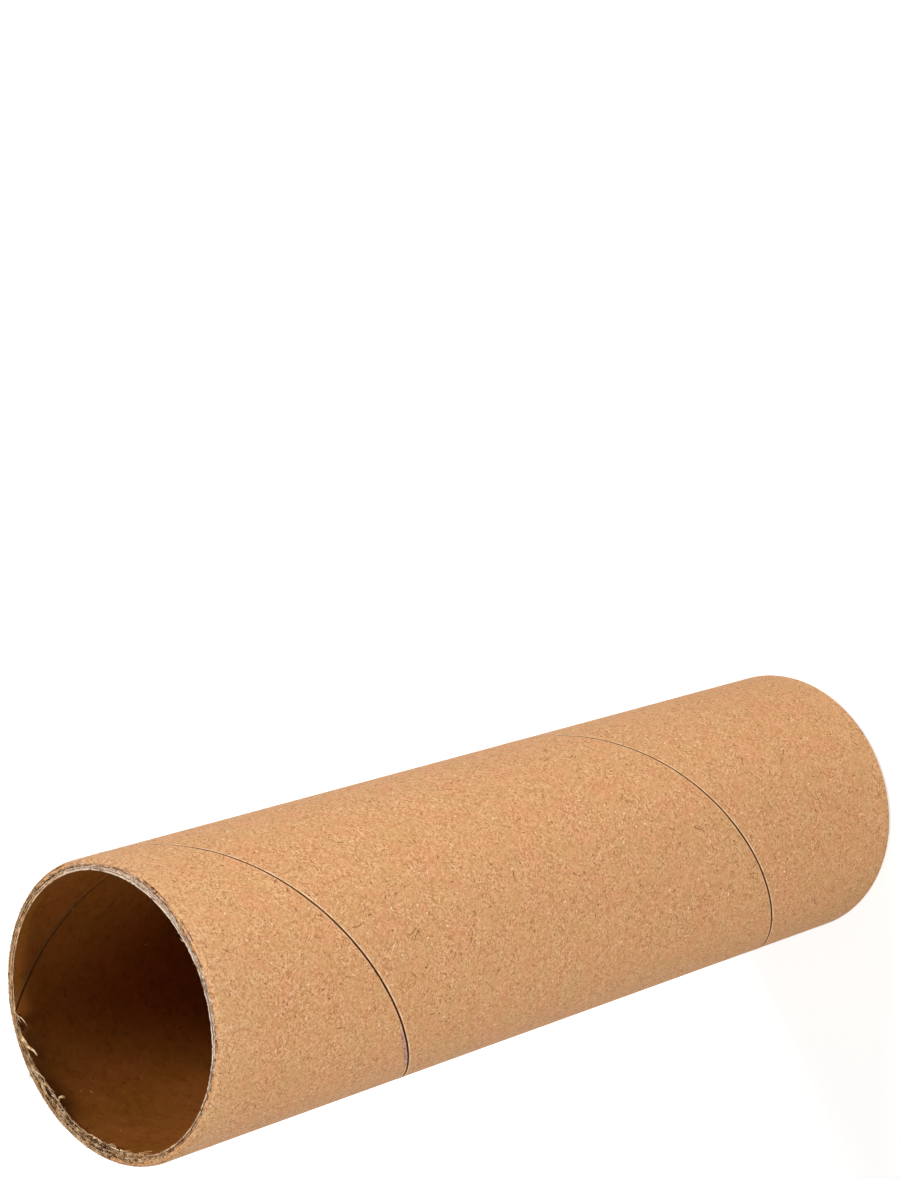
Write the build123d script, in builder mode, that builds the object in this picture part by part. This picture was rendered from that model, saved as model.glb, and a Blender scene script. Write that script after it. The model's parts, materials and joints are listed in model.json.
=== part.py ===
from build123d import *

import os
from math import asin, pi, tan

# A spiral-wound cardboard mailing tube, standing on one end. Millimetres, +Z up along the tube.
# The origin is the centre of the end it stands on, and +X passes the foot of the outer seam.

# The board: kraft plies glued face to face into one wall.
bore_diameter = 50.8
ply_count = 5
ply_thickness = 0.4
tube_length = 195.0

# The winding: the width of the outermost ply, the gap left where a ply's edges meet, and the
# angle about the tube from the foot of the outermost ply's seam to the foot of the innermost's.
outer_ply_width = 91.6
seam_gap = 0.5
inner_seam_offset = 54.0

# The ends: the knife that parts the tubes presses the outer corner round.
pressed_edge_radius = 1.0

# How far the seams' cutters reach past the wall and past the ends.
overrun = 2.0

wall = ply_count * ply_thickness
bore_radius = bore_diameter / 2
outer_radius = bore_radius + wall

# A ply that meets its own edge on every turn covers the cylinder once, so its width sets the
# angle it is wound at. The plies under it advance by the same lead, so their edges meet too.
middle_of_outer_ply = outer_radius - ply_thickness / 2
ply_angle = asin(outer_ply_width / (2 * pi * middle_of_outer_ply))
lead = 2 * pi * middle_of_outer_ply * tan(ply_angle)


# One seam's cutter: the gap's section, square to a helix that starts on +X below the tube. The
# section reaches from the gap's floor, one ply deep, to past the face that the ply is on.
def seam_cutter(floor_radius, reach):
    with BuildPart() as cutter:
        with BuildLine():
            edge = Helix(lead, tube_length + 2 * overrun, floor_radius, center=(0, 0, -overrun))
        with BuildSketch(Plane(edge @ 0, x_dir=(1, 0, 0), z_dir=edge % 0)):
            with Locations((reach / 2, 0)):
                Rectangle(abs(reach), seam_gap)
        sweep(is_frenet=True)
    return cutter.part


outer_seam_cutter = seam_cutter(outer_radius - ply_thickness, ply_thickness + overrun)
inner_seam_cutter = seam_cutter(bore_radius + ply_thickness, -ply_thickness - overrun)

# Turned by this about Z, a cutter passes +X where the tube begins, and not where it starts.
foot_turn = -360 * overrun / lead

with BuildPart() as tube:
    # The wall's section, turned about the bore. Only the outer corners are pressed round.
    with BuildSketch(Plane.XZ) as wall_section:
        with Locations((bore_radius, 0)):
            Rectangle(wall, tube_length, align=(Align.MIN, Align.MIN))
        outer_corners = wall_section.vertices().group_by(Axis.X)[-1]
        fillet(outer_corners, pressed_edge_radius)
    revolve(axis=Axis.Z)

    # The outermost ply's seam winds up the outside, and the innermost ply's up the bore.
    add(outer_seam_cutter, rotation=(0, 0, foot_turn), mode=Mode.SUBTRACT)
    add(inner_seam_cutter, rotation=(0, 0, foot_turn + inner_seam_offset), mode=Mode.SUBTRACT)

tube.part.label = "tube"

os.makedirs("parts", exist_ok=True)
export_step(tube.part, "parts/tube.step")
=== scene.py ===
import json
import random
from math import asin, atan, ceil, cos, floor, pi, radians, sin, tan

import bmesh
import bpy
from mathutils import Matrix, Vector, noise


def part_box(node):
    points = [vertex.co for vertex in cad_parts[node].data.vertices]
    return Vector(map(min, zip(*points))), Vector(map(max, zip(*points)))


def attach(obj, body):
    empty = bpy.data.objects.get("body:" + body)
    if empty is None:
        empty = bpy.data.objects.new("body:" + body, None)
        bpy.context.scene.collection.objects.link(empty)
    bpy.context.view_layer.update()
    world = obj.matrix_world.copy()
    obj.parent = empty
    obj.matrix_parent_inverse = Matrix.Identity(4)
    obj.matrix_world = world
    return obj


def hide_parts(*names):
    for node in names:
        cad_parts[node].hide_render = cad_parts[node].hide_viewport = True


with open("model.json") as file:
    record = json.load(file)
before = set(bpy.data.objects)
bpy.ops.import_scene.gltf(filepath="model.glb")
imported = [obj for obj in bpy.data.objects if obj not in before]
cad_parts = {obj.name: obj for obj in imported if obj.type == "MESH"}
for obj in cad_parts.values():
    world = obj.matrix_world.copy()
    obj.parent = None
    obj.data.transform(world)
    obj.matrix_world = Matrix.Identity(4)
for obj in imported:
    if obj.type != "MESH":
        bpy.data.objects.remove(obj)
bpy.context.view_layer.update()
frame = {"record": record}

# A spiral-wound kraft tube on one end, its upper end frayed by the knife. Metres, in the frame of
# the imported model: +Z up the tube, from the centre of the end that it stands on.
MM = 0.001

# Sizes of the board and its winding, as in the model's source. The seam is drawn a little closer
# than the source's half a millimetre, because the lips of its paper lean over it.
low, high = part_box("tube")
tube_length = high[2] - low[2]
outer_radius = (high[0] - low[0]) / 2
bore_mount = next(mount for mount in frame["record"]["mounts"] if mount["name"] == "bore")
bore_radius = bore_mount["dims"]["r_mm"] * MM
ply_count = 5
ply = (outer_radius - bore_radius) / ply_count
pressed_radius = 1.0 * MM
seam_gap = 0.36 * MM
outer_ply_width = 91.6 * MM
inner_seam_offset = radians(54.0)
middle_of_outer_ply = outer_radius - ply / 2
lead = 2 * pi * middle_of_outer_ply * tan(asin(outer_ply_width / (2 * pi * middle_of_outer_ply)))
girth = 2 * pi * outer_radius


# How steeply the strip climbs at a radius.
def climb(radius):
    return atan(lead / (2 * pi * radius))


# Angles on the frayed rim are given from the place that the camera sees at its top, in degrees,
# growing towards the left of the picture.
rim_top = radians(-121.91)


def rim_angle(degrees):
    return rim_top + radians(degrees)


# From -180 to 180 degrees, and from 0 to 360.
def from_rim_top(angle):
    return ((angle - rim_top + pi) % (2 * pi) - pi) * 180 / pi


def rim_degrees(angle):
    return from_rim_top(angle) % 360


# Camera: the place, aim and roll fitted to the tube's outline, in millimetres from the origin.
camera_place = Vector((-474.5, 56.24, 590.41)) * MM
camera_aim = Vector((0.666216, -0.165059, -0.727263))
camera_up = Vector((-0.384855, -0.911405, -0.145698))
focal_length_px = 3531.7
picture_long_side_px = 1178
sensor_long_side = 36.0


def add_object(name, data):
    made = bpy.data.objects.new(name, data)
    bpy.context.collection.objects.link(made)
    return made


def make_camera():
    data = bpy.data.cameras.new("camera")
    data.sensor_width = sensor_long_side
    data.lens = sensor_long_side * focal_length_px / picture_long_side_px
    data.clip_start = 0.01
    camera = add_object("camera", data)
    right = camera_aim.cross(camera_up).normalized()
    up = right.cross(camera_aim).normalized()
    for column, axis in enumerate((right, up, -camera_aim.normalized())):
        for row in range(3):
            camera.matrix_world[row][column] = axis[row]
    camera.matrix_world.translation = camera_place
    bpy.context.scene.camera = camera


# Colours are written as sRGB hex and turned to linear here.
def linear(hex_colour):
    channels = (int(hex_colour[i:i + 2], 16) / 255 for i in (1, 3, 5))
    return tuple(c / 12.92 if c <= 0.04045 else ((c + 0.055) / 1.055) ** 2.4 for c in channels) + (1.0,)


# Adds a node: its settings by keyword, and in links its sockets in their order, or by name or
# number, each with a value or with the node or output that feeds it.
def add_node(tree, kind, links=(), **settings):
    made = tree.nodes.new(kind)
    for setting, value in settings.items():
        setattr(made, setting, value)
    for socket, value in (links.items() if isinstance(links, dict) else enumerate(links)):
        if isinstance(value, bpy.types.Node):
            value = next(output for output in value.outputs if output.enabled)
        if isinstance(value, bpy.types.NodeSocket):
            tree.links.new(value, made.inputs[socket])
        else:
            made.inputs[socket].default_value = value
    return made


# Starts a node tree with named inputs, each with its kind of socket, and one output.
def start_tree(name, kind, inputs, output, output_kind):
    tree = bpy.data.node_groups.new(name, kind)
    for socket, socket_kind in inputs.items():
        tree.interface.new_socket(socket, in_out="INPUT", socket_type="NodeSocket" + socket_kind)
    tree.interface.new_socket(output, in_out="OUTPUT", socket_type="NodeSocket" + output_kind)
    return tree, add_node(tree, "NodeGroupInput").outputs


# Lays tints over a colour, one after another. Each shows where its pattern goes from start to
# end, up to its strength.
def laid_over(tree, colour, tints):
    for pattern, start, end, strength, tint in tints:
        share = add_node(tree, "ShaderNodeMapRange", (pattern, start, end, 0.0, strength),
                         interpolation_type="SMOOTHSTEP")
        tint = linear(tint) if isinstance(tint, str) else tint
        colour = add_node(tree, "ShaderNodeMix", {0: share, 6: colour, 7: tint}, data_type="RGBA")
    return colour


# Single fibres in the sheet: one in each cell of a Voronoi pattern, turned, bent and cut short by
# the cell's own random numbers. Lengths are in millimetres, as the place that comes in is.
fibre_sizes = ("Spacing", "Length", "Width", "Share", "Bend")


def make_fibre_pattern():
    inputs = {"Place": "Vector", **dict.fromkeys(fibre_sizes, "Float")}
    tree, given = start_tree("sheet fibres", "ShaderNodeTree", inputs, "Fibre", "Float")
    per_cell = add_node(tree, "ShaderNodeMath", (1.0, given["Spacing"]), operation="DIVIDE")
    cells = add_node(tree, "ShaderNodeTexVoronoi", {"Vector": given["Place"], "Scale": per_cell},
                     voronoi_dimensions="2D").outputs
    apart = add_node(tree, "ShaderNodeVectorMath", (given["Place"], cells["Position"]),
                     operation="SUBTRACT")
    chance = add_node(tree, "ShaderNodeSeparateColor", (cells["Color"],)).outputs
    angle = add_node(tree, "ShaderNodeMath", (chance[0], pi, -pi / 2), operation="MULTIPLY_ADD")
    turned = add_node(tree, "ShaderNodeVectorRotate", {"Vector": apart, "Angle": angle},
                      rotation_type="Z_AXIS")
    turned = add_node(tree, "ShaderNodeSeparateXYZ", (turned,)).outputs
    along = add_node(tree, "ShaderNodeMath", (turned[0],), operation="ABSOLUTE")
    bow = add_node(tree, "ShaderNodeMath", (chance[1], 0.5), operation="SUBTRACT")
    bow = add_node(tree, "ShaderNodeMath", (bow, given["Bend"]), operation="MULTIPLY")
    bent = add_node(tree, "ShaderNodeMath", (along, 2.0), operation="POWER")
    bent = add_node(tree, "ShaderNodeMath", (bent, bow, turned[1]), operation="MULTIPLY_ADD")
    across = add_node(tree, "ShaderNodeMath", (bent,), operation="ABSOLUTE")
    across = add_node(tree, "ShaderNodeMath", (across, given["Width"]), operation="DIVIDE")
    narrow = add_node(tree, "ShaderNodeMapRange", (across, 0.25, 0.65, 1.0, 0.0),
                      interpolation_type="SMOOTHSTEP")
    reach = add_node(tree, "ShaderNodeMath", (chance[1], 0.35, 0.2), operation="MULTIPLY_ADD")
    reach = add_node(tree, "ShaderNodeMath", (reach, given["Length"]), operation="MULTIPLY")
    along = add_node(tree, "ShaderNodeMath", (along, reach), operation="DIVIDE")
    short = add_node(tree, "ShaderNodeMapRange", (along, 0.75, 1.05, 1.0, 0.0),
                     interpolation_type="SMOOTHSTEP")
    taken = add_node(tree, "ShaderNodeMath", (chance[2], given["Share"]), operation="LESS_THAN")
    fibre = add_node(tree, "ShaderNodeMath", (narrow, short), operation="MULTIPLY")
    fibre = add_node(tree, "ShaderNodeMath", (fibre, taken), operation="MULTIPLY")
    add_node(tree, "NodeGroupOutput", (fibre,))
    return tree


# Lays kinds of fibre over a colour, more or less as shown says. Each has its name, the shift that
# keeps its pattern apart, its spacing, length, width, share of the cells and bend, and its strength
# and tint.
def with_fibres(tree, place, colour, shown, kinds):
    patterns = {}
    for name, (shift, *sizes, strength, tint) in kinds.items():
        shifted = add_node(tree, "ShaderNodeVectorMath", (place, (shift * 3.1, shift * 5.3, 0.0)))
        links = {"Place": shifted, **dict(zip(fibre_sizes, sizes))}
        patterns[name] = add_node(tree, "ShaderNodeGroup", links, node_tree=fibre_pattern)
        strength = add_node(tree, "ShaderNodeMath", (shown, strength), operation="MULTIPLY")
        colour = laid_over(tree, colour, [(patterns[name], 0.0, 1.0, strength, tint)])
    return colour, patterns


# Cloudy patterns over the sheet, each by its name: its size in millimetres, its detail and its
# roughness. The fourth coordinate keeps them apart.
def blotches(tree, place, sizes):
    patterns = {}
    for name, (size, detail, roughness) in sizes.items():
        links = {"Vector": place, "W": 7.3 * len(patterns), "Scale": 1 / size, "Detail": detail,
                 "Roughness": roughness}
        patterns[name] = add_node(tree, "ShaderNodeTexNoise", links, noise_dimensions="4D")
    return patterns


# The marks that the wall's points carry for their materials: how many plies out from the bore,
# the distance from a seam, its lower lip, where the seam's painted highlight is strongest, a
# peeled lip, the distance past the cut's edge, how far the plies have parted, how dusty the cut
# is, and how much painted shade lies on the bore's edge by the rim. Distances are in millimetres.
mark_names = ("plies", "seam", "lower_lip", "lip", "cut", "parted", "dusty", "painted_rim_shade")


def wall_marks(tree):
    return {name: add_node(tree, "ShaderNodeAttribute", attribute_name=name).outputs["Fac"]
            for name in mark_names}


# Where a point is on its strip of paper: the piece's own map, in millimetres along and across.
def place_on_strip(tree):
    strip = add_node(tree, "ShaderNodeUVMap", uv_map="strip")
    return add_node(tree, "ShaderNodeVectorMath", {0: strip, 3: 1 / MM}, operation="SCALE").outputs[0]


def start_material(name):
    material = bpy.data.materials.new(name)
    material.use_nodes = True
    material.node_tree.nodes.clear()
    return material, material.node_tree


paper_relief = 0.05 * MM


# Rough paper with a faint gloss, and with relief where it is given a height.
def finish_paper(tree, colour, roughness, gloss, height=None):
    links = {"Base Color": colour, "Roughness": roughness, "Specular IOR Level": gloss}
    if height:
        links["Normal"] = add_node(tree, "ShaderNodeBump", {"Height": height, "Distance": paper_relief})
    shader = add_node(tree, "ShaderNodeBsdfPrincipled", links)
    add_node(tree, "ShaderNodeOutputMaterial", {"Surface": shader})


# The cut edges of the plies: pulp torn by the knife in streaks that run round the rim, drawn as
# painted light and painted shade, pale and pinkish where the cut is clean and tan where it is
# dusty, with brown shreds, dark dashes where the plies meet, and open slits where they have
# parted, painted dark as shade.
def cut_edge(tree, place, marks):
    plies, dusty = marks["plies"], marks["dusty"]
    round_rim = add_node(tree, "ShaderNodeVectorRotate", {"Vector": place, "Angle": climb(outer_radius)},
                         rotation_type="Z_AXIS")
    stretched = add_node(tree, "ShaderNodeMapping", {"Vector": round_rim, "Scale": (0.2, 2.4, 1.0)})
    long_marks = blotches(tree, stretched, {"streaks": (0.8, 4.0, 0.65), "shreds": (0.7, 3.0, 0.5)})
    short_marks = blotches(tree, place, {"tufts": (0.5, 2.0, 0.5), "wander": (1.4, 3.0, 0.6)})
    # Each colour where the cut is clean, and where it is dusty. The shaded and lit tones are
    # painted shade and painted light of the one pulp.
    tones = {"shaded": ("#C8A68A", "#97693E"), "lit": ("#F3DEC8", "#E2BB8E"),
             "tufts": ("#FFF0E2", "#EDCDA4"), "gaps": ("#725A49", "#462B14")}
    tones = {name: laid_over(tree, linear(clean), [(dusty, 0.0, 1.0, 1.0, dull)])
             for name, (clean, dull) in tones.items()}
    inner_edge = add_node(tree, "ShaderNodeMapRange", (dusty, 0.0, 1.0, 0.55, 0.10))
    pulp = laid_over(tree, tones["shaded"], [
        (long_marks["streaks"], 0.42, 0.58, 1.0, tones["lit"]),
        (plies, 0.9, 0.5, inner_edge, "#FAEAD8"),
        (long_marks["shreds"], 0.57, 0.64, 0.75, "#7A5232"),
        (short_marks["tufts"], 0.58, 0.68, 0.8, tones["tufts"]),
    ])
    # Dark dashes wander along each border between plies, and the slits' painted shade keeps to it.
    wander = add_node(tree, "ShaderNodeMath", (short_marks["wander"], 0.5, -0.25),
                      operation="MULTIPLY_ADD")
    strayed = add_node(tree, "ShaderNodeMath", (wander, plies))
    border = add_node(tree, "ShaderNodeMath", (strayed,), operation="ROUND")
    to_border = add_node(tree, "ShaderNodeMath", (strayed, 0.5), operation="PINGPONG")
    along = add_node(tree, "ShaderNodeSeparateXYZ", (round_rim,)).outputs["X"]
    lane = add_node(tree, "ShaderNodeMath", (border, 9.0), operation="MULTIPLY")
    lane = add_node(tree, "ShaderNodeCombineXYZ", (along, lane, 0.0))
    dashes = blotches(tree, lane, {"dashes": (1.7, 2.0, 0.5)})["dashes"]
    between = add_node(tree, "ShaderNodeMath", (plies, ply_count / 2, ply_count / 2 - 0.5),
                       operation="COMPARE")
    depth = add_node(tree, "ShaderNodeMapRange", (dusty, 0.0, 1.0, 0.80, 0.92))
    depth = add_node(tree, "ShaderNodeMath", (depth, between), operation="MULTIPLY")
    depth = add_node(tree, "ShaderNodeMapRange", (dashes, 0.44, 0.52, 0.0, depth),
                     interpolation_type="SMOOTHSTEP")
    off_border = add_node(tree, "ShaderNodeMath", (plies, 0.5), operation="PINGPONG")
    # Where plies have parted, the slit is painted near black as shade.
    painted_slit_shade = add_node(tree, "ShaderNodeMath", (marks["parted"], 0.28), operation="MULTIPLY")
    painted_slit_shade = add_node(tree, "ShaderNodeMath", (painted_slit_shade, off_border), operation="GREATER_THAN")
    painted_slit_shade = add_node(tree, "ShaderNodeMath", (painted_slit_shade, between), operation="MULTIPLY")
    pulp = laid_over(tree, pulp, [
        (to_border, 0.28, 0.14, depth, tones["gaps"]),
        (painted_slit_shade, 0.0, 1.0, 0.93, "#2E190B"),
    ])
    return pulp, long_marks["streaks"]


# The butt seam: dark from its floor to just over its lips, partly the ply's edge and partly
# painted shade, its width uneven, with a painted highlight along its lips that is strongest on
# the lower one, and the inside of the sheet showing where a lip was peeled back.
def seam_colours(tree, place, marks, colour, dark, depth, lit, shine, peeled, fibrous):
    apart = add_node(tree, "ShaderNodeMath", (marks["seam"],), operation="ABSOLUTE")
    patterns = blotches(tree, place, {"uneven": (2.4, 2.0, 0.5), "torn": (0.7, 3.0, 0.6)})
    edge = add_node(tree, "ShaderNodeMath", (patterns["uneven"], 0.18, seam_gap / 2 / MM - 0.09),
                    operation="MULTIPLY_ADD")
    past = add_node(tree, "ShaderNodeMath", (apart, edge), operation="SUBTRACT")
    inside = laid_over(tree, linear(peeled), [(patterns["torn"], 0.46, 0.58, 0.9, fibrous)])
    bare = add_node(tree, "ShaderNodeMapRange", (patterns["uneven"], 0.30, 0.50, 0.55, 0.95))
    bare = add_node(tree, "ShaderNodeMapRange", (apart, 1.05, 0.90, 0.0, bare))
    # Painted highlight along both lips, strongest on the lower one.
    lower = add_node(tree, "ShaderNodeMapRange", (marks["lower_lip"], 0.4, 0.6, 0.25 * shine, shine))
    glint = add_node(tree, "ShaderNodeMapRange", (patterns["uneven"], 0.36, 0.60, 0.0, lower))
    glint = add_node(tree, "ShaderNodeMapRange", (past, 0.48, 0.24, 0.0, glint),
                     interpolation_type="SMOOTHSTEP")
    return laid_over(tree, colour, [
        (marks["lip"], 0.0, 1.0, bare, inside),
        (past, 0.02, 0.12, glint, lit),
        (past, 0.08, 0.0, depth, dark),
    ])


# Unbleached kraft liner, calendered smooth: a warm tan sheet, clouded pink and straw where the
# pulp is thick and thin, with light and dark fibres, bark specks, and bright specks that are
# painted glints.
def make_kraft_liner():
    material, tree = start_material("unbleached kraft liner")
    place = place_on_strip(tree)
    marks = wall_marks(tree)
    cut = marks["cut"]
    # The sheet's finest fibres are a fifth of a millimetre apart, drawn twice as coarse to show.
    cloudy = blotches(tree, place, {
        "clouds": (7.0, 4.0, 0.65), "mottle": (1.3, 4.0, 0.7), "grain": (0.36, 2.0, 0.6),
        "patches": (4.5, 2.0, 0.5), "ragged": (0.8, 3.0, 0.5), "lift_shade_spots": (1.0, 2.0, 0.5),
    })
    mottle, grain = cloudy["mottle"], cloudy["grain"]
    # Fibres and grain show in patches, and most where the knife has roughened the corner.
    patches = add_node(tree, "ShaderNodeMapRange", (cloudy["patches"], 0.35, 0.62, 0.5, 1.2))
    rough_corner = add_node(tree, "ShaderNodeMapRange", (cut, -4.5, -1.4, 0.0, 1.1))
    patches = add_node(tree, "ShaderNodeMath", (patches, rough_corner), operation="MAXIMUM")
    grainy = add_node(tree, "ShaderNodeMath", (patches, 0.42), operation="MULTIPLY")
    colour = laid_over(tree, linear("#D6A26C"), [
        (cloudy["clouds"], 0.34, 0.66, 1.0, "#DE9D6E"),
        (cut, -14.0, -2.0, 0.30, "#E0B581"),
        (mottle, 0.50, 0.70, 0.30, "#EFBF90"),
        (mottle, 0.50, 0.30, 0.28, "#B97E49"),
        (grain, 0.50, 0.66, grainy, "#F5CB9C"),
        (grain, 0.50, 0.34, grainy, "#A66A34"),
    ])
    colour, drawn = with_fibres(tree, place, colour, patches, {
        "pale": (2.0, 0.85, 1.7, 0.22, 0.7, 0.5, 0.34, "#F3C797"),
        "brown": (5.0, 0.9, 1.4, 0.22, 0.7, 0.5, 0.36, "#9C6130"),
        "browner": (33.0, 1.2, 1.5, 0.24, 0.5, 0.5, 0.36, "#95592A"),
        "light flecks": (39.0, 0.8, 0.7, 0.24, 0.55, 0.5, 0.42, "#F7D3A4"),
        "brown flecks": (43.0, 0.9, 0.5, 0.25, 0.5, 0.5, 0.42, "#955525"),
        "paler": (9.0, 1.5, 2.0, 0.22, 0.4, 0.9, 0.42, "#F8D2A5"),
    })
    colour = with_fibres(tree, place, colour, 1.0, {
        "bark": (13.0, 2.7, 0.7, 0.28, 0.2, 0.5, 0.8, "#6B3411"),
        "specks": (14.0, 1.5, 0.45, 0.26, 0.22, 0.5, 0.55, "#7F4318"),
        "splinters": (17.0, 9.0, 2.6, 0.24, 0.22, 0.3, 0.66, "#733D18"),
        # Bright specks: painted glints.
        "bright_specks": (23.0, 2.6, 0.5, 0.27, 0.13, 0.5, 0.85, "#FFEACB"),
    })[0]
    # The liner gives way to torn pulp along a ragged line, with dashes of painted shade along it where
    # its edge would lift.
    pulp, streaks = cut_edge(tree, place, marks)
    ragged = add_node(tree, "ShaderNodeMath", (cloudy["ragged"], 0.5), operation="SUBTRACT")
    from_edge = add_node(tree, "ShaderNodeMath", (ragged, 1.4, cut), operation="MULTIPLY_ADD")
    to_edge = add_node(tree, "ShaderNodeMath", (from_edge,), operation="ABSOLUTE")
    painted_lift_shade = add_node(tree, "ShaderNodeMapRange", (cloudy["lift_shade_spots"], 0.41, 0.51, 0.0, 0.85),
                      interpolation_type="SMOOTHSTEP")
    colour = laid_over(tree, colour, [
        (from_edge, -0.08, 0.08, 1.0, pulp),
        (to_edge, 0.24, 0.10, painted_lift_shade, "#5C3A1B"),
    ])
    # In the seam, the ply's own edge and the glue line under it are dark, with painted shade over
    # them, and the lips take a painted highlight.
    colour = seam_colours(tree, place, marks, colour, dark="#6E3C12", depth=0.9, lit="#FFE2BE", shine=0.9,
                          peeled="#D09A8C", fibrous="#86684C")
    height = add_node(tree, "ShaderNodeMath", (mottle, 0.8), operation="MULTIPLY")
    for pattern, lift in ((grain, 0.7), (drawn["pale"], 0.4), (drawn["paler"], 0.4)):
        height = add_node(tree, "ShaderNodeMath", (pattern, lift, height), operation="MULTIPLY_ADD")
    torn = add_node(tree, "ShaderNodeMapRange", (from_edge, -0.08, 0.08, 0.0, 1.2))
    height = add_node(tree, "ShaderNodeMath", (torn, streaks, height), operation="MULTIPLY_ADD")
    finish_paper(tree, colour, roughness=0.65, gloss=0.10, height=height)
    return material


# The bore's ply: cheaper, browner kraft with a few long fibres, darkened further with painted
# shade for the bore's own shade, and darker still by the rim with painted shade under the torn
# plies.
def make_bore_ply():
    material, tree = start_material("kraft bore ply")
    place = place_on_strip(tree)
    marks = wall_marks(tree)
    cloudy = blotches(tree, place, {
        "clouds": (9.0, 3.0, 0.6), "mottle": (1.6, 4.0, 0.7), "ragged": (0.7, 3.0, 0.5),
    })
    # Browner kraft, darkened with painted shade.
    colour = laid_over(tree, linear("#985D1E"), [
        (cloudy["clouds"], 0.36, 0.64, 1.0, "#A26027"),
        (cloudy["mottle"], 0.50, 0.70, 0.45, "#B0702F"),
        (cloudy["mottle"], 0.50, 0.32, 0.5, "#75400F"),
    ])
    colour, drawn = with_fibres(tree, place, colour, 1.0, {
        "pale": (4.0, 1.1, 1.6, 0.2, 0.5, 0.5, 0.2, "#BD803F"),
        "bark": (15.0, 5.5, 1.3, 0.34, 0.22, 0.5, 0.5, "#55290B"),
        "bright_specks": (27.0, 7.0, 0.9, 0.3, 0.14, 0.5, 0.7, "#D9A36C"),
    })
    pulp = cut_edge(tree, place, marks)[0]
    ragged = add_node(tree, "ShaderNodeMath", (cloudy["ragged"], 0.8, -0.4), operation="MULTIPLY_ADD")
    from_edge = add_node(tree, "ShaderNodeMath", (ragged, marks["cut"]))
    colour = laid_over(tree, colour, [
        # Painted shade by the rim, deepest under the torn plies.
        (marks["painted_rim_shade"], 0.0, 1.0, 0.7, "#3E2008"),
        (from_edge, -0.06, 0.06, 1.0, pulp),
    ])
    # The bore's seam: dark with painted shade, and a faint painted highlight.
    colour = seam_colours(tree, place, marks, colour, dark="#3F2109", depth=0.6, lit="#A56A30", shine=0.2,
                          peeled="#83603F", fibrous="#7A4F28")
    height = add_node(tree, "ShaderNodeMath", (cloudy["mottle"], 0.8), operation="MULTIPLY")
    height = add_node(tree, "ShaderNodeMath", (drawn["pale"], 0.5, height), operation="MULTIPLY_ADD")
    finish_paper(tree, colour, roughness=0.9, gloss=0.08, height=height)
    return material


# Loose pulp fibres and shreds: pale and slightly pink on the clean side of the cut, tan on the
# dusty side, and uneven, so that a tuft doesn't look like one thing.
def make_loose_fibre():
    material, tree = start_material("loose kraft fibre")
    place = add_node(tree, "ShaderNodeTexCoord").outputs["Object"]
    tint = blotches(tree, place, {"tint": (0.9 * MM, 1.0, 0.5)})["tint"]
    outward = directions(rim_angle(dusty_middle))[0]
    dusty = add_node(tree, "ShaderNodeVectorMath", (place, outward), operation="DOT_PRODUCT")
    side = (dusty, -0.2 * bore_radius, 0.4 * bore_radius, 1.0)
    dark = laid_over(tree, linear("#CFA57C"), [(*side, "#AF8252")])
    light = laid_over(tree, linear("#FCE6D2"), [(*side, "#EECFA6")])
    colour = laid_over(tree, dark, [(tint, 0.42, 0.60, 1.0, light)])
    finish_paper(tree, colour, roughness=0.8, gloss=0.08)
    return material


# The section of the wall as one path: up the outside, round the near pressed corner, in over
# the rim, down the bore, out over the far rim and round the far pressed corner.
straight = tube_length - 2 * pressed_radius
arc = pi / 2 * pressed_radius
flat = outer_radius - pressed_radius - bore_radius
near_corner = straight
near_face = near_corner + arc
bore_start = near_face + flat
far_face = bore_start + tube_length
far_corner = far_face + flat
path_end = far_corner + arc


# The radius and height at a distance along the path.
def on_path(distance):
    corner_centre = outer_radius - pressed_radius
    if distance <= near_corner:
        return outer_radius, pressed_radius + distance
    if distance <= near_face:
        turn = (distance - near_corner) / pressed_radius
        return corner_centre + pressed_radius * cos(turn), tube_length - pressed_radius * (1 - sin(turn))
    if distance <= bore_start:
        return corner_centre - (distance - near_face), tube_length
    if distance <= far_face:
        return bore_radius, tube_length - (distance - bore_start)
    if distance <= far_corner:
        return bore_radius + (distance - far_face), 0.0
    turn = (path_end - distance) / pressed_radius
    return corner_centre + pressed_radius * cos(turn), pressed_radius * (1 - sin(turn))


# How far along a rim's path, from the outer wall, a border between plies comes.
def border_path(number):
    radius = bore_radius + number * ply
    if radius > outer_radius - pressed_radius:
        inward = (radius - outer_radius + pressed_radius) / pressed_radius
        return pressed_radius * (pi / 2 - asin(inward))
    return arc + outer_radius - pressed_radius - radius


# Rows of the sheet: close by the rims and at the borders between plies, and wide on the walls.
border_half = 0.06 * MM
near_rim_steps = [0.15, 0.35, 0.6, 0.9, 1.3, 1.8, 2.4, 3.2, 4.5, 6.5, 10.0, 15.0]
far_rim_steps = [0.4, 1.0, 2.0, 4.0, 8.0]
wall_step = 12.0 * MM
columns = 640


def rim_rows(middles):
    rows = []
    marks = [0.0] + [border_path(number) for number in range(ply_count - 1, 0, -1)] + [arc + flat]
    for start, end in zip(marks, marks[1:]):
        rows += [start + (end - start) * (step + 1) / (middles + 1) for step in range(middles)]
    for mark in marks[1:-1]:
        rows += [mark - border_half, mark, mark + border_half]
    return sorted(rows)


def wall_rows(length, near_steps, far_steps):
    rows = [length - step * MM for step in near_steps] + [step * MM for step in far_steps]
    start, end = far_steps[-1] * MM, length - near_steps[-1] * MM
    count = ceil((end - start) / wall_step)
    rows += [start + (end - start) * step / count for step in range(1, count)]
    return sorted(rows)


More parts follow.
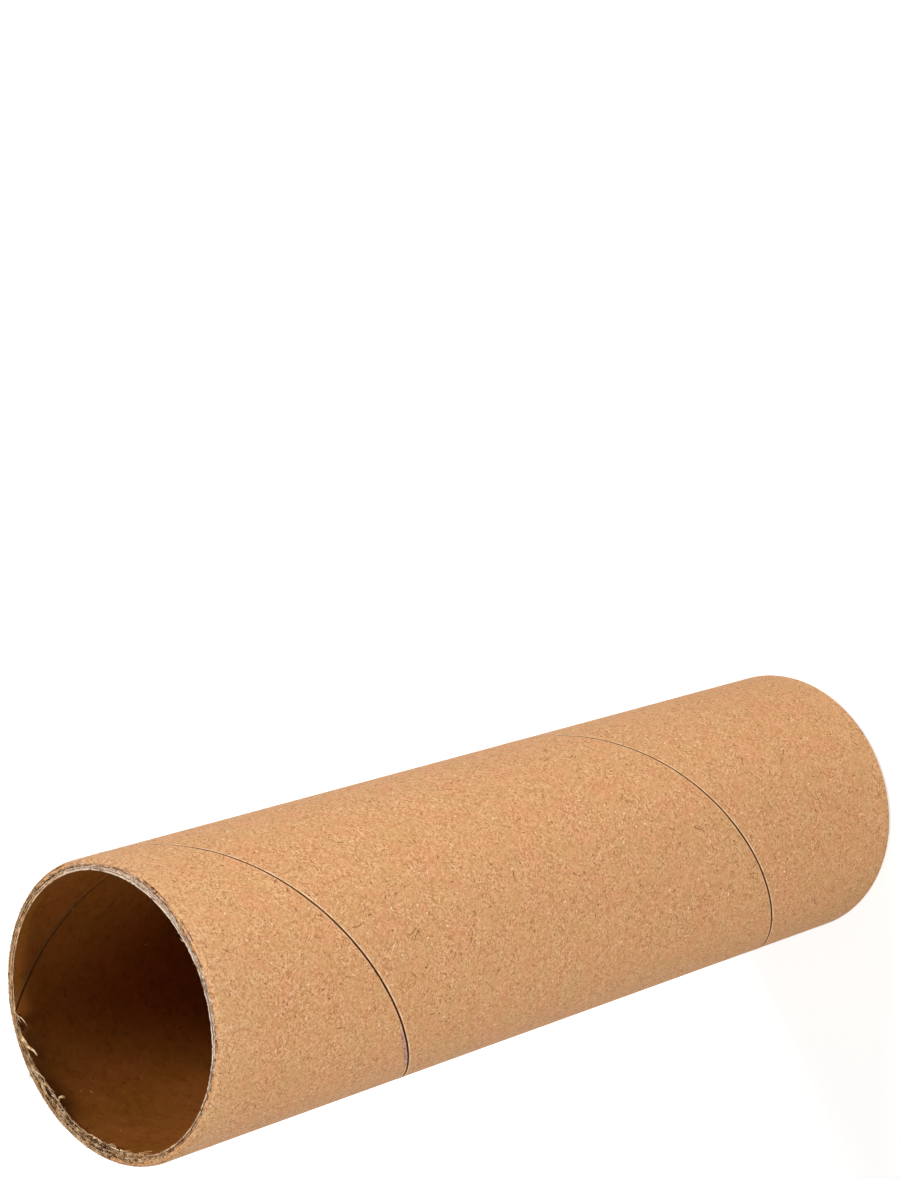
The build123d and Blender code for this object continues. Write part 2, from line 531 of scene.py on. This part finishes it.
def all_rows():
    rows = [0.0, near_corner, bore_start, far_face]
    rows += wall_rows(straight, near_rim_steps, far_rim_steps)
    rows += [near_corner + row for row in rim_rows(2)]
    rows += [far_face - row for row in wall_rows(tube_length, near_rim_steps, far_rim_steps)]
    rows += [path_end - row for row in rim_rows(1)]
    return sorted(rows) + [path_end]


# Height of a seam's middle on its first turn, which starts at the foot of the tube.
def seam_height(angle, offset):
    return lead * (angle - offset) / (2 * pi)


# Distance from the nearest pass of a seam, square to it and positive above it.
def from_seam(angle, height, offset, radius):
    turns = (height - seam_height(angle, offset)) / lead
    nearest = floor(turns + 0.5)
    return (turns - nearest) * lead * cos(climb(radius))


# Rows beside a seam's middle: its floor, its steep sides, and its lips, which rise from lip_reach
# to the gap.
side_width = 0.03 * MM
lip_reach = 1.1 * MM
seam_rows = [seam_gap / 2 - side_width, seam_gap / 2, 0.5 * MM, lip_reach]


# Cuts the sheet's faces in one stretch of the path along every pass of a seam.
def cut_seam(sheet, start, end, height_at_start, direction, offset, radius):
    slope = direction * lead / girth
    for turn in range(-2, ceil(tube_length / lead) + 2):
        for side in (-1, 1):
            for row in seam_rows:
                height = seam_height(0, offset) + turn * lead + side * row / cos(climb(radius))
                crossing = start + direction * (height - height_at_start)
                within = [face for face in sheet.faces if start < face.calc_center_median().y < end]
                parts = set(within)
                for face in within:
                    parts.update(face.edges)
                    parts.update(face.verts)
                bmesh.ops.bisect_plane(sheet, geom=list(parts), dist=1e-7,
                                       plane_co=(0, crossing, 0), plane_no=(-slope, 1, 0))


# A smooth random number between -1 and 1, in waves of about one step round the tube. The seed
# keeps its uses apart.
def ripple(angle, step, seed, height=0.0):
    across = outer_radius / step
    return noise.noise(Vector((across * cos(angle) + seed, across * sin(angle), height / step + seed)))


# From 0 at the start to 1 at the end, with soft ends. The start may be the larger number.
def smooth_step(value, start, end):
    share = min(max((value - start) / (end - start), 0.0), 1.0)
    return share * share * (3 - 2 * share)


# 1 between two angles: where it rises from 0 and is full, and where it falls and is gone.
def window(degrees, rise, full, fall, gone):
    return smooth_step(degrees, rise, full) * (1 - smooth_step(degrees, fall, gone))


# How far the knife has bent the inner plies into the bore: angles from the rim's top, in degrees,
# each with the bend there in millimetres. The bend starts where the inner seam ends.
bends = [(103.3, 0.0), (103.5, 0.35), (112, 0.35), (120, 0.5), (127, 0.6), (131, 1.15), (136, 1.2),
         (141, 1.5), (147, 1.35), (155, 0.9), (166, 1.0), (175, 1.25), (182, 1.15), (183.5, 0.45),
         (196, 0.55), (206, 0.0)]
bend_reach = 2.0 * MM


def inward_bend(angle):
    degrees = rim_degrees(angle)
    for (start, first), (end, last) in zip(bends, bends[1:]):
        if start <= degrees < end:
            share = (degrees - start) / (end - start)
            size = first + (last - first) * share
            ragged = 0.30 * ripple(angle, 1.1 * MM, 3.0) + 0.22 * ripple(angle, 3.5 * MM, 5.0)
            return max(0.0, size * (1 + ragged)) * MM
    return 0.0


# Where plies have parted: the border, counted from the bore, and the angles from the rim's top
# where the slit starts and ends. Each slit opens over slit_taper degrees at both ends, and its
# depth is in millimetres.
slits = [(4, 22, 72), (2, 30, 64), (1, 74, 101), (4, 104, 196), (3, 110, 186), (2, 106, 190),
         (1, 108, 186), (3, -62, -8), (4, -58, -14), (1, -106, -30), (2, -152, -110),
         (1, -150, -112), (3, 186, 206)]
slit_taper = 7.0
slit_depth = 0.7


def parted(angle, border):
    degrees = rim_degrees(angle)
    opening = 0.0
    for number, start, end in slits:
        inward = min((degrees - start) % 360, (end - degrees) % 360)
        if number == border and (degrees - start) % 360 < (end - start) % 360:
            opening = max(opening, smooth_step(inward, 0, slit_taper))
    worn = 0.6 + 1.3 * ripple(angle, 2.2 * MM, 23.0 + border)
    stray = 0.8 * ripple(angle, 4.0 * MM, 33.0 + border) - 0.15
    return min(1.0, max(0.0, opening * worn, stray))


# How far along the path the liner wraps over the rim before the torn plies show: furthest at the
# lower right, where the knife pressed hardest, least on the left, and worn back beside the top.
def liner_wrap(angle):
    degrees = from_rim_top(angle)
    bare = smooth_step(abs(degrees - 120), 95, 40)
    pressed = smooth_step(abs(degrees + 127), 38, 12)
    worn = smooth_step(abs(degrees + 20), 26, 10)
    return arc + (0.12 + 0.45 * pressed - 0.55 * worn - 0.85 * bare) * MM


# Where the cut is dusty and tan: all but the side that is on the right and at the top.
dusty_middle = 140.0


def dustiness(angle):
    return smooth_step(abs(rim_degrees(angle) - dusty_middle), 150, 85)


# Painted shade on the bore's edge: deep under the torn plies, where they would shade the wall,
# and a narrow band just inside the rim all round.
painted_rim_shade_reach = 5.5 * MM


def painted_rim_shade(angle, height):
    degrees = rim_degrees(angle)
    along = window(degrees, 101, 108, 142, 166)
    edge = smooth_step(height, tube_length - 0.9 * MM, tube_length - 0.2 * MM)
    reach = painted_rim_shade_reach * (1 + 0.4 * ripple(angle, 3 * MM, 71.0))
    depth = smooth_step(height, tube_length - reach, tube_length)
    return max(along * depth ** 0.5, 0.5 * edge)


# Next to the end of the inner seam a corner of the inner ply is torn off.
def torn_off(angle, height):
    along = window(rim_degrees(angle), 103.5, 104.5, 109, 114)
    reach = (1.9 + 1.2 * ripple(angle, 1.5 * MM, 61.0)) * MM * along
    return smooth_step(height, tube_length - reach - 0.3 * MM, tube_length - reach) if along > 0.05 else 0.0


# The lip of the outer seam is peeled where it nears the picture's lower edge, and the lip in the
# bore where it nears the rim.
bore_peel_width = 1.2 * MM
outer_peel_width = 1.12 * MM


def peeled_lip(angle, height, outer_side, inner_side, in_bore):
    degrees = rim_degrees(angle)
    if in_bore and height > 0.85 * tube_length and 0 < inner_side < bore_peel_width:
        return 0.6 * window(degrees, 48, 62, 96, 103)
    if not in_bore and height > tube_length / 2 and 0 < outer_side < outer_peel_width:
        return window(degrees, 226, 233, 248, 256)
    return 0.0


# The height that a point of the path has when the rims are unrolled, in the bore or outside.
def unrolled(y, in_bore):
    if in_bore:
        return tube_length - (y - bore_start)
    return pressed_radius + (y if y < bore_start else y - path_end)


# Distances of the wall's points, in millimetres: the furthest that is marked, how high the lips of
# the seams stand and how far that varies, how far the cut pulp reaches down the bore, and how far
# the plies end below the liner, with waves and fine teeth.
far_off = 3.0
lip_height = 0.05
lip_waves = 0.06
cut_in_bore = 0.15
ply_drop = 0.07
ply_waves = 0.10
ply_teeth = 0.08

# The far rim is cut cleaner than the near one, and the seam's lower lips stand up less.
far_rim_roughness = 0.4
lower_lip_share = 0.3

# How much of the knife's bend each ply takes, from the bore out, and how much it sinks with it.
bend_shares = (1.0, 0.5, 0.18, 0.18)
bend_sag = 0.25


# One point of the wall from its place on the flat sheet, with its marks for the materials.
def wall_point(x, y):
    angle = x / outer_radius
    radius, height = on_path(y)
    plies = (radius - bore_radius) / ply
    in_bore = bore_start < y < far_face
    near_end = height > tube_length / 2
    rim_path = y - near_corner if near_end else path_end - y
    on_rim = near_corner < y < bore_start or y > far_face
    outer_side = from_seam(angle, unrolled(y, False), 0.0, outer_radius)
    inner_side = from_seam(angle, unrolled(y, True), inner_seam_offset, bore_radius)
    marks = {"plies": plies, "seam": far_off, "cut": -far_off, "parted": 0.0, "dusty": dustiness(angle),
             "lower_lip": 1.0 if outer_side < 0 else 0.0,
             "lip": peeled_lip(angle, height, outer_side, inner_side, in_bore),
             "painted_rim_shade": painted_rim_shade(angle, height) if in_bore and near_end else 0.0}

    # Seams: the floor is one ply down, and the lips stand up a little here and there.
    core = seam_gap / 2 - side_width / 2
    if plies > ply_count - 1:
        marks["seam"] = min(abs(outer_side) / MM, far_off)
        if abs(outer_side) < core:
            radius = min(radius, outer_radius - ply)
        elif plies > ply_count - 0.5:
            lift = smooth_step(abs(outer_side), lip_reach, seam_gap / 2)
            height_of_lip = lip_height + lip_waves * ripple(angle, 4 * MM, 7.0, height)
            radius += lift * height_of_lip * MM * (1.0 if outer_side > 0 else lower_lip_share)
    if plies < 1:
        marks["seam"] = min(abs(inner_side) / MM, far_off)
        if abs(inner_side) < core:
            radius = bore_radius + ply
        elif in_bore:
            lift = smooth_step(abs(inner_side), lip_reach, seam_gap / 2)
            radius -= lift * lip_height * MM * (1 + ripple(angle, 5 * MM, 8.0, height))

    # Rims: each ply ends at its own height, ragged, with slits where two plies have parted.
    if on_rim:
        end_sign = -1.0 if near_end else 1.0
        roughness = 1.0 if near_end else far_rim_roughness
        number = min(floor(plies), ply_count - 1)
        border = round(plies)
        to_border = abs(plies - border) * ply
        inside_liner = smooth_step(rim_path, 0.1 * MM, border_path(ply_count - 1))
        drop = ply_drop + ply_waves * ripple(angle, 3 * MM, 11.0 + number)
        drop += ply_teeth * ripple(angle, 0.7 * MM, 17.0 + number)
        if 0 < border < ply_count and near_end:
            marks["parted"] = parted(angle, border)
            if to_border < border_half:
                drop += marks["parted"] * slit_depth
        height += end_sign * drop * inside_liner * roughness * MM
        if near_end:
            marks["cut"] = min(rim_path - liner_wrap(angle), bore_start - y + cut_in_bore * MM) / MM
        else:
            marks["cut"] = min(rim_path - arc, path_end - y - arc + 0.1 * MM) / MM

    # The inner plies' bend into the bore, and the corner that is gone, whose recess is painted dark
    # with the seam's colour as shade.
    gone = torn_off(angle, height) if near_end and plies < 1 else 0.0
    if gone > 0:
        radius = max(radius, bore_radius + gone * ply)
        # Painted shade: the recess takes the seam's dark colour.
        marks["seam"] = min(marks["seam"], far_off * (1 - gone))
    bend = inward_bend(angle)
    if bend > 0 and near_end and plies < 3.5 and gone < 0.5:
        share = bend_shares[int(plies)]
        near_rim = smooth_step(height, tube_length - bend_reach, tube_length)
        radius -= bend * share * near_rim
        height -= bend_sag * bend * share * near_rim
    if in_bore:
        rim_distance = min(y - bore_start, far_face - y)
        marks["cut"] = -rim_distance / MM + (cut_in_bore if near_end else 0.0)
    elif not on_rim:
        rim_distance = min(y, near_corner - y)
        marks["cut"] = -(rim_distance + (liner_wrap(angle) if near_end else arc)) / MM
    return (radius * cos(angle), radius * sin(angle), height), marks


# The map that the paper's pattern follows: along and across the strip, with a break only where
# the strip's own edges meet.
def strip_place(x, y, turn, on_bore):
    height = unrolled(y, on_bore)
    radius = bore_radius if on_bore else outer_radius
    tilt = climb(radius)
    along_girth = x * radius / outer_radius + 2 * pi * radius * turn
    return (along_girth * cos(tilt) + height * sin(tilt), height * cos(tilt) - along_girth * sin(tilt))


def strip_turn(x, y, on_bore):
    offset = inner_seam_offset if on_bore else 0.0
    return floor((unrolled(y, on_bore) - seam_height(x / outer_radius, offset)) / lead)


# Two faces that meet more sharply than this show a crease.
sharp_fold = radians(38)


def make_wall(liner, bore_ply):
    sheet = bmesh.new()
    rows = all_rows()
    grid = [[sheet.verts.new((girth * column / columns, row, 0)) for column in range(columns + 1)]
            for row in rows]
    for lower, upper in zip(grid, grid[1:]):
        for column in range(columns):
            sheet.faces.new((lower[column], lower[column + 1], upper[column + 1], upper[column]))
    outer_ply_path = border_path(ply_count - 1)
    outside = {"direction": 1, "offset": 0.0, "radius": outer_radius}
    cut_seam(sheet, 0.0, near_corner + outer_ply_path, pressed_radius, **outside)
    cut_seam(sheet, path_end - outer_ply_path, path_end, pressed_radius - outer_ply_path, **outside)
    inner_ply_path = arc + flat - border_path(1)
    cut_seam(sheet, bore_start - inner_ply_path, far_face + inner_ply_path, tube_length + inner_ply_path,
             direction=-1, offset=inner_seam_offset, radius=bore_radius)

    strip = sheet.loops.layers.uv.new("strip")
    layers = {name: sheet.verts.layers.float.new(name) for name in mark_names}
    for face in sheet.faces:
        centre = face.calc_center_median()
        on_bore = bore_start < centre.y < far_face
        turn = strip_turn(centre.x, centre.y, on_bore)
        face.material_index = 1 if on_bore else 0
        face.smooth = True
        for loop in face.loops:
            loop[strip].uv = strip_place(loop.vert.co.x, loop.vert.co.y, turn, on_bore)
    for vert in sheet.verts:
        place, marks = wall_point(vert.co.x, vert.co.y)
        vert.co = place
        for name, value in marks.items():
            vert[layers[name]] = value
    bmesh.ops.remove_doubles(sheet, verts=sheet.verts, dist=0.0005 * MM)
    bmesh.ops.recalc_face_normals(sheet, faces=sheet.faces)
    for edge in sheet.edges:
        if len(edge.link_faces) == 2 and edge.calc_face_angle(0.0) > sharp_fold:
            edge.smooth = False

    mesh = bpy.data.meshes.new("tube_wall")
    sheet.to_mesh(mesh)
    sheet.free()
    mesh.materials.append(liner)
    mesh.materials.append(bore_ply)
    return add_object("tube_wall", mesh)


# Plain light: a white room, a low lamp beside the camera that doesn't reach into the bore, and
# two higher ones that do, above the picture and below it. Each lamp has its strength, its height
# above the level, its side from the rim's top and its softness, the last three in degrees.
room_light = 0.21
lamps = {
    "key": (1.55, 1.5, -62.0, 8.0),
    "upper": (1.85, 53.0, 20.0, 25.0),
    "lower": (1.05, 58.0, -165.0, 25.0),
}


def make_sun(name, strength, height, side, softness):
    data = bpy.data.lights.new(name, "SUN")
    data.energy = strength
    data.angle = radians(softness)
    lamp = add_object(name, data)
    outward, around, upward = directions(rim_angle(side))
    towards = outward * cos(radians(height)) + upward * sin(radians(height))
    lamp.rotation_mode = "QUATERNION"
    lamp.rotation_quaternion = towards.to_track_quat("Z", "Y")


# What the camera sees past the object is white. Lamps and shadows reach the floor as usual.
def seen_white(tree):
    rays = add_node(tree, "ShaderNodeLightPath").outputs
    seen = add_node(tree, "ShaderNodeMath", (rays["Is Camera Ray"], rays["Is Glossy Ray"]),
                    operation="MAXIMUM")
    return add_node(tree, "ShaderNodeMath", (seen, rays["Is Transmission Ray"]), operation="MAXIMUM")


floor_reach = 4.0
floor_glow = 0.62


def make_room():
    world = bpy.data.worlds.new("white room")
    bpy.context.scene.world = world
    world.use_nodes = True
    tree = world.node_tree
    tree.nodes.clear()
    strength = add_node(tree, "ShaderNodeMapRange", (seen_white(tree), 0.0, 1.0, room_light, 1.0))
    background = add_node(tree, "ShaderNodeBackground", {"Color": (1, 1, 1, 1), "Strength": strength})
    add_node(tree, "ShaderNodeOutputWorld", {"Surface": background})

    material, tree = start_material("pale floor paper")
    diffuse = add_node(tree, "ShaderNodeBsdfDiffuse", {"Color": linear("#D8D8D6")})
    glow = add_node(tree, "ShaderNodeMath", (seen_white(tree), floor_glow), operation="MULTIPLY")
    glow = add_node(tree, "ShaderNodeEmission", {"Color": (1, 1, 1, 1), "Strength": glow})
    both = add_node(tree, "ShaderNodeAddShader", (diffuse, glow))
    add_node(tree, "ShaderNodeOutputMaterial", {"Surface": both})
    mesh = bpy.data.meshes.new("floor")
    corners = [(-1, -1), (1, -1), (1, 1), (-1, 1)]
    mesh.from_pydata([(x * floor_reach, y * floor_reach, 0) for x, y in corners], [], [(0, 1, 2, 3)])
    mesh.materials.append(material)
    ground = add_object("floor", mesh)


# Loose fibres: on every root a short strand along the root's lean, bent twice at random and
# tapered to its tip. Real fibres are 0.03 to 0.05 mm thick, and these are bundles of a few.
def make_strand_tree():
    inputs = {"Roots": "Geometry", "Strand Length": "Float", "Strand Radius": "Float",
              "Curl": "Float", "Seed": "Int", "Material": "Material"}
    tree, given = start_tree("loose strands", "GeometryNodeTree", inputs, "Strands", "Geometry")
    line = add_node(tree, "GeometryNodeCurvePrimitiveLine")
    line = add_node(tree, "GeometryNodeResampleCurve", {"Curve": line, "Count": 6})
    lean = add_node(tree, "GeometryNodeInputNamedAttribute", {"Name": "lean"}, data_type="FLOAT_VECTOR")
    size = add_node(tree, "GeometryNodeInputNamedAttribute", {"Name": "size"}, data_type="FLOAT")
    turn = add_node(tree, "FunctionNodeAlignRotationToVector", {"Vector": lean}, axis="Z")
    scale = add_node(tree, "ShaderNodeMath", (size, given["Strand Length"]), operation="MULTIPLY")
    links = {"Points": given["Roots"], "Instance": line, "Rotation": turn, "Scale": scale}
    strands = add_node(tree, "GeometryNodeInstanceOnPoints", links)
    strands = add_node(tree, "GeometryNodeRealizeInstances", {"Geometry": strands})
    along = add_node(tree, "GeometryNodeSplineParameter").outputs["Factor"]
    first = add_node(tree, "ShaderNodeMath", (along, 2.0), operation="POWER")
    second = add_node(tree, "ShaderNodeMath", (along, 2 * pi), operation="MULTIPLY")
    second = add_node(tree, "ShaderNodeMath", (second,), operation="SINE")
    for number, (bend, share) in enumerate(((first, 1.0), (second, 0.25))):
        seed = add_node(tree, "ShaderNodeMath", (given["Seed"], 100.0 * number))
        chance = add_node(tree, "FunctionNodeRandomValue", {0: (-1, -1, -1), 1: (1, 1, 1), "Seed": seed},
                          data_type="FLOAT_VECTOR")
        chance = add_node(tree, "GeometryNodeFieldOnDomain", (chance,), domain="CURVE",
                          data_type="FLOAT_VECTOR")
        reach = add_node(tree, "ShaderNodeMath", (given["Curl"], share), operation="MULTIPLY")
        reach = add_node(tree, "ShaderNodeMath", (reach, bend), operation="MULTIPLY")
        offset = add_node(tree, "ShaderNodeVectorMath", {0: chance, 3: reach}, operation="SCALE")
        strands = add_node(tree, "GeometryNodeSetPosition", {"Geometry": strands, "Offset": offset})
    profile = add_node(tree, "GeometryNodeCurvePrimitiveCircle", {"Resolution": 3})
    taper = add_node(tree, "ShaderNodeMapRange", (along, 0.0, 1.0, 1.0, 0.3))
    taper = add_node(tree, "ShaderNodeMath", (taper, given["Strand Radius"]), operation="MULTIPLY")
    links = {"Curve": strands, "Profile Curve": profile, "Scale": taper, "Fill Caps": True}
    strands = add_node(tree, "GeometryNodeCurveToMesh", links)
    strands = add_node(tree, "GeometryNodeRealizeInstances", {"Geometry": strands})
    links = {"Geometry": strands, "Material": given["Material"]}
    strands = add_node(tree, "GeometryNodeSetMaterial", links)
    add_node(tree, "NodeGroupOutput", (strands,))
    return tree


def plain_mesh(shaped):
    return bpy.data.meshes.new_from_object(shaped.evaluated_get(bpy.context.evaluated_depsgraph_get()))


# Grows strands on roots, each a place, a lean and a size, and leaves them as a plain mesh.
def grow_strands(name, roots, length, radius, curl, seed):
    mesh = bpy.data.meshes.new(name)
    places, leans, sizes = zip(*roots)
    mesh.from_pydata(places, [], [])
    leans = [axis for lean in leans for axis in lean]
    mesh.attributes.new("lean", "FLOAT_VECTOR", "POINT").data.foreach_set("vector", leans)
    mesh.attributes.new("size", "FLOAT", "POINT").data.foreach_set("value", sizes)
    piece = add_object(name, mesh)
    modifier = piece.modifiers.new("strands", "NODES")
    modifier.node_group = strand_tree
    inputs = {"Strand Length": length, "Strand Radius": radius, "Curl": curl, "Seed": seed,
              "Material": loose_fibre}
    for socket in strand_tree.interface.items_tree:
        if socket.item_type == "SOCKET" and socket.name in inputs:
            modifier[socket.identifier] = inputs[socket.name]
    grown = plain_mesh(piece)
    piece.modifiers.remove(modifier)
    piece.data = grown
    return piece


# A place by its angle from the rim's top in degrees, its distance in from the bore's edge, and its
# height over the rim, both in millimetres.
def by_rim(degrees, inward, over):
    angle = rim_angle(degrees)
    radius = bore_radius - inward * MM
    return Vector((radius * cos(angle), radius * sin(angle), tube_length + over * MM))


def directions(angle):
    outward = Vector((cos(angle), sin(angle), 0))
    around = Vector((-sin(angle), cos(angle), 0))
    return outward, around, Vector((0, 0, 1))


# How thickly the rim is frayed at an angle from its top: most on the torn side.
def fraying(degrees):
    degrees %= 360
    torn_side = window(degrees, 96, 108, 200, 225)
    top_right = window((degrees + 100) % 360, 0, 40, 110, 135)
    return 0.25 + 0.75 * max(torn_side, 0.8 * top_right)


# Roots of the rim's strands, each with its place, lean and size: on the cut, from the edge of the
# bent inner ply out to the pressed corner. Where the cut is torn they lean into the bore too.
def rim_roots(count, chance):
    roots = []
    while len(roots) < count:
        degrees = chance.uniform(0, 360)
        patchy = 0.5 + 0.8 * ripple(radians(degrees), 2.5 * MM, 51.0)
        if chance.random() > fraying(degrees) * patchy:
            continue
        angle = rim_angle(degrees)
        outward, around, upward = directions(angle)
        bend = inward_bend(angle)
        torn = min(1.0, bend / (0.5 * MM))
        depth = chance.uniform(0.35 * MM * (1 - torn) - bend, 1.6 * MM)
        drop = max(0.0, depth - 1.0 * MM) * 0.5
        place = outward * (bore_radius + depth) + upward * (tube_length - 0.12 * MM - drop)
        lean = around * chance.choice((-1, 1)) * chance.uniform(0.5, 1.0)
        lean += outward * chance.uniform(-0.7 * torn, 0.5) + upward * chance.uniform(0.02, 0.35)
        roots.append((place, lean.normalized(), chance.uniform(0.35, 1.0)))
    return roots


# Strands that lie on the outer wall, in millimetres below the rim: two in three are near it, at
# usual_depth on average, and the rest are anywhere down to the lowest. Then how many strands there
# are on the rim and on the wall.
highest_lint = 1.2
usual_depth = 5.0
lowest_lint = 190
rim_strands = 2200
wall_strands = 300


def wall_roots(count, chance):
    roots = []
    for number in range(count):
        degrees = chance.uniform(0, 360)
        outward, around, upward = directions(rim_angle(degrees))
        depth = chance.expovariate(1 / usual_depth) if number % 3 else chance.uniform(0, lowest_lint)
        depth = min(highest_lint + depth, lowest_lint) * MM
        place = outward * (outer_radius - 0.01 * MM) + upward * (tube_length - depth)
        turn = chance.uniform(0, 2 * pi)
        lean = around * cos(turn) + upward * sin(turn) + outward * 0.12
        roots.append((place, lean.normalized(), chance.uniform(0.4, 1.0)))
    return roots


# The shreds that the knife tore off the inner plies and left hanging, and the odd hairs, two of
# them at the outer seam: each its half width at the root, whether it lies flat, and its path by
# the rim. The curved bright one is there twice, on edge and flat, to give it thickness.
curved_shred = [(147.4, 3.7, 0.1), (145.6, 3.1, 0.2), (144.9, 2.2, 0.1), (146.4, 1.1, -0.3)]
shreds = [
    (0.15, True, [(101.8, -0.6, 0.0), (103.3, -0.1, 0.1), (104.6, 0.6, 0.1), (106.0, 1.7, 0.0),
                  (109.2, 2.45, 0.0)]),
    (0.07, True, [(104.4, 0.3, 0.1), (105.9, 0.75, 0.15), (107.6, 1.1, 0.1)]),
    (0.42, True, [(112.4, -0.4, -0.1), (113.8, 0.2, 0.1), (115.6, 0.75, 0.1), (118.1, 1.15, 0.1),
                  (119.9, 2.1, 0.0), (121.4, 2.2, -0.2), (122.9, 1.8, -0.7)]),
    (0.13, True, [(113.8, 0.2, 0.1), (116.7, 0.3, 0.1), (120.2, 0.5, 0.0)]),
    (0.09, True, [(127.4, -0.2, -0.1), (128.4, -1.0, 0.1), (128.9, -1.9, 0.1), (129.4, -2.8, -0.1)]),
    (0.06, True, [(128.2, -1.0, 0.1), (129.6, -1.5, 0.3), (131.0, -1.6, 0.2)]),
    (0.13, True, [(127.4, 0.2, -0.1), (129.1, 0.6, 0.0), (131.0, 1.3, 0.0), (133.2, 1.6, -0.1)]),
    (0.12, True, [(134.8, 0.9, 0.0), (136.4, 1.3, 0.0), (138.7, 1.85, 0.0), (141.0, 2.0, -0.1)]),
    (0.10, True, [(141.0, 1.1, -0.1), (143.8, 1.7, 0.0), (147.0, 1.6, 0.0), (149.0, 1.2, -0.1)]),
    (0.12, True, [(133.2, -0.6, 0.0), (133.9, -1.0, 0.2), (135.0, -0.9, 0.3)]),
    (0.20, False, curved_shred),
    (0.27, True, curved_shred),
    (0.14, True, [(169.5, 0.9, 0.0), (171.9, 1.5, 0.1), (173.8, 1.4, 0.1), (175.4, 1.0, -0.1)]),
    (0.12, True, [(180.5, 1.0, -0.1), (184.0, 0.9, 0.1), (188.5, 0.8, 0.1), (193.0, 0.7, 0.0)]),
    (0.12, True, [(-46.8, 0.0, 0.0), (-45.6, 0.35, 0.05), (-44.6, 0.4, 0.0)]),
    (0.08, False, [(-48.4, -2.0, -29.5), (-47.3, -2.12, -30.25), (-46.6, -2.12, -30.9),
                   (-47.3, -2.05, -30.8)]),
    (0.08, False, [(-124.9, -2.0, -50.7), (-126.0, -2.12, -51.9), (-127.9, -2.0, -53.2)]),
]
shred_thickness = 0.05 * MM


# Splinters of ply that lie along the cut: how many of them between two angles, and how far into
# the bore the innermost is.
splintered = [(26, 106, 202, 0.9), (14, -92, 28, 0.0)]


def splinters(chance):
    found = []
    for count, first, last, innermost in splintered:
        for _ in range(count):
            start = chance.uniform(first, last)
            turn = chance.uniform(3, 9)
            inward = chance.uniform(-1.2, innermost)
            path = [(start + turn * step / 3, inward + chance.uniform(-0.12, 0.12),
                     chance.uniform(-0.2, 0.02)) for step in range(4)]
            found.append((chance.uniform(0.06, 0.12), True, path))
    return found


def make_shreds(shapes):
    data = bpy.data.curves.new("torn_shreds", "CURVE")
    data.dimensions = "3D"
    data.bevel_depth = shred_thickness / 2
    data.bevel_resolution = 1
    data.extrude = 1.0 * MM
    data.use_fill_caps = True
    for half_width, flat_lying, path in shapes:
        strand = data.splines.new("NURBS")
        strand.points.add(len(path) - 1)
        strand.order_u = 3
        strand.use_endpoint_u = True
        for number, (point, place) in enumerate(zip(strand.points, path)):
            point.co = (*by_rim(*place), 1.0)
            point.radius = half_width * (1.0 - 0.75 * number / (len(path) - 1))
            point.tilt = radians(75) if flat_lying else 0.0
    holder = add_object("torn_shreds", data)
    mesh = plain_mesh(holder)
    bpy.data.objects.remove(holder)
    mesh.materials.clear()
    mesh.materials.append(loose_fibre)
    return add_object("torn_shreds", mesh)


make_camera()
make_room()
for lamp, (strength, height, side, softness) in lamps.items():
    make_sun(lamp, strength, height, side, softness)

fibre_pattern = make_fibre_pattern()
kraft_liner = make_kraft_liner()
bore_paper = make_bore_ply()
loose_fibre = make_loose_fibre()

tube_wall = make_wall(kraft_liner, bore_paper)
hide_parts("tube")
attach(tube_wall, "root")

chance = random.Random(11)
strand_tree = make_strand_tree()
rim_fray = grow_strands("rim_fray", rim_roots(rim_strands, chance),
                        length=1.2 * MM, radius=0.04 * MM, curl=0.5 * MM, seed=3)
wall_lint = grow_strands("wall_lint", wall_roots(wall_strands, chance),
                         length=1.8 * MM, radius=0.045 * MM, curl=0.5 * MM, seed=5)
torn_shreds = make_shreds(shreds + splinters(chance))
for piece in (rim_fray, wall_lint, torn_shreds):
    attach(piece, "root")

bpy.context.scene.view_settings.view_transform = "Standard"
